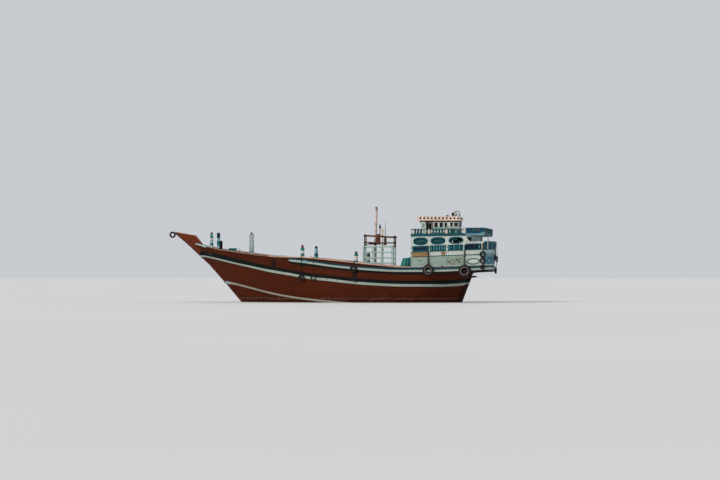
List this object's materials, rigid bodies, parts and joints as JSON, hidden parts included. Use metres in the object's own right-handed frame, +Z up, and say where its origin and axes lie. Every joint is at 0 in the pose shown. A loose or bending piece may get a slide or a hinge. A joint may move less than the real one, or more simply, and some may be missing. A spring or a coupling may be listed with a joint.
{
  "type": "motor cargo dhow",
  "caption": "Wooden motor cargo dhow with a raked stem, sheered hull, three-level rounded poop with wheelhouse, deck rack, pole mast and tyre fenders.",
  "frame": {"origin": "on the centreline at the water's surface, about amidships between the stem head and the poop's stern", "axes": "+X towards the bow, +Y to port, +Z up; Z = 0 is the waterline"},
  "size_m": [36.993, 8.877, 13.09],
  "materials": {
    "hull_paint": "red-brown painted planking, weathered",
    "wale_paint": "black-green painted wale over a pale stripe",
    "pale_paint": "pale grey-green painted rail",
    "mint_paint": "pale turquoise painted timber",
    "white_paint": "off-white painted boarding, scuffed",
    "teal_paint": "dark teal painted timber",
    "stair_paint": "green-teal painted timber",
    "deck_wood": "bare worn deck boards",
    "timber": "dark bare timber",
    "bare_pole": "grey weathered pole",
    "iron": "black painted iron",
    "engine_iron": "green-grey painted engine",
    "bronze": "dull bronze",
    "tyre_rubber": "worn black tyre"
  },
  "bodies": {
    "ship": {"bow_post_port": "mint_paint", "bow_post_starboard": "mint_paint", "bulwark_port": "hull_paint", "bulwark_starboard": "hull_paint", "cabin_front": "white_paint", "cabin_side_port": "white_paint", "cabin_side_starboard": "white_paint", "cabin_stern": "white_paint", "deck_rack": "mint_paint", "engine": "engine_iron", "gallery_bulwark": "teal_paint", "helm_stand": "timber", "hull": "hull_paint", "keel": "hull_paint", "mast": "bare_pole", "poop_ladder": "stair_paint", "poop_sole": "white_paint", "quarter_screen": "teal_paint", "quarter_tyres_port": "tyre_rubber", "quarter_tyres_starboard": "tyre_rubber", "rub_rail_port": "pale_paint", "rub_rail_starboard": "pale_paint", "saloon_floor": "white_paint", "saloon_front": "white_paint", "saloon_side_port": "white_paint", "saloon_side_starboard": "white_paint", "saloon_stern": "white_paint", "samson_post": "mint_paint", "stem": "hull_paint", "stem_tyre": "tyre_rubber", "stern_post": "mint_paint", "tyre_aft_port": "tyre_rubber", "tyre_aft_starboard": "tyre_rubber", "tyre_fore_port": "tyre_rubber", "tyre_fore_starboard": "tyre_rubber", "upper_deck": "teal_paint", "upper_rail_port": "teal_paint", "upper_rail_starboard": "teal_paint", "waist_post_aft_port": "mint_paint", "waist_post_aft_starboard": "mint_paint", "waist_post_fore_port": "mint_paint", "waist_post_fore_starboard": "mint_paint", "wale_port": "wale_paint", "wale_starboard": "wale_paint", "wheelhouse_aft": "white_paint", "wheelhouse_front": "white_paint", "wheelhouse_roof": "white_paint", "wheelhouse_side_port": "white_paint", "wheelhouse_side_starboard": "white_paint"},
    "rudder": {"rudder": "hull_paint"},
    "propeller": {"propeller": "bronze"},
    "helm": {"helm_wheel": "timber"},
    "capstan": {"capstan": "iron"},
    "cargo_hatch_port": {"cargo_hatch_port": "deck_wood"},
    "cargo_hatch_starboard": {"cargo_hatch_starboard": "deck_wood"},
    "fore_hatch_lid": {"fore_hatch_lid": "teal_paint"},
    "wheelhouse_door_port": {"wheelhouse_door_port": "white_paint"},
    "wheelhouse_door_starboard": {"wheelhouse_door_starboard": "white_paint"},
    "cabin_door": {"cabin_door": "teal_paint"}
  },
  "joints": [
    {"name": "rudder_turn", "type": "hinge", "parent": "ship", "child": "rudder", "pos_m": [-13.8631, 0, 0], "axis": [-0.3687, 0, 0.9295], "range_deg": [-35, 35]},
    {"name": "propeller_spin", "type": "hinge", "parent": "ship", "child": "propeller", "pos_m": [-12.18, 0, -1.27], "axis": [1, 0, 0], "continuous": true},
    {"name": "helm_turn", "type": "hinge", "parent": "ship", "child": "helm", "pos_m": [-10.9, 0, 8.22], "axis": [1, 0, 0], "range_deg": [-350, 350]},
    {"name": "capstan_turn", "type": "hinge", "parent": "ship", "child": "capstan", "pos_m": [13, 0, 5.5], "axis": [0, 0, 1], "continuous": true},
    {"name": "cargo_hatch_port_open", "type": "hinge", "parent": "ship", "child": "cargo_hatch_port", "pos_m": [0, 1.6, 4.5711], "axis": [1, 0, 0], "range_deg": [-110, 0]},
    {"name": "cargo_hatch_starboard_open", "type": "hinge", "parent": "ship", "child": "cargo_hatch_starboard", "pos_m": [0, -1.6, 4.5711], "axis": [-1, 0, 0], "range_deg": [-110, 0]},
    {"name": "fore_hatch_open", "type": "hinge", "parent": "ship", "child": "fore_hatch_lid", "pos_m": [12.545, 0, 5.604], "axis": [0, -1, 0], "range_deg": [-95, 0]},
    {"name": "wheelhouse_door_port_close", "type": "hinge", "parent": "ship", "child": "wheelhouse_door_port", "pos_m": [-10.364, 1.072, 8.1], "axis": [0, 0, 1], "range_deg": [0, 180]},
    {"name": "wheelhouse_door_starboard_open", "type": "hinge", "parent": "ship", "child": "wheelhouse_door_starboard", "pos_m": [-10.364, -1.072, 8.1], "axis": [0, 0, 1], "range_deg": [0, 170]},
    {"name": "cabin_door_open", "type": "hinge", "parent": "ship", "child": "cabin_door", "pos_m": [-9.085, -1.3, 4.4], "axis": [0, 0, -1], "range_deg": [0, 150]}
  ],
  "couplings": [
    {"joint": "helm_turn", "follows": "rudder_turn", "ratio": 10}
  ]
}
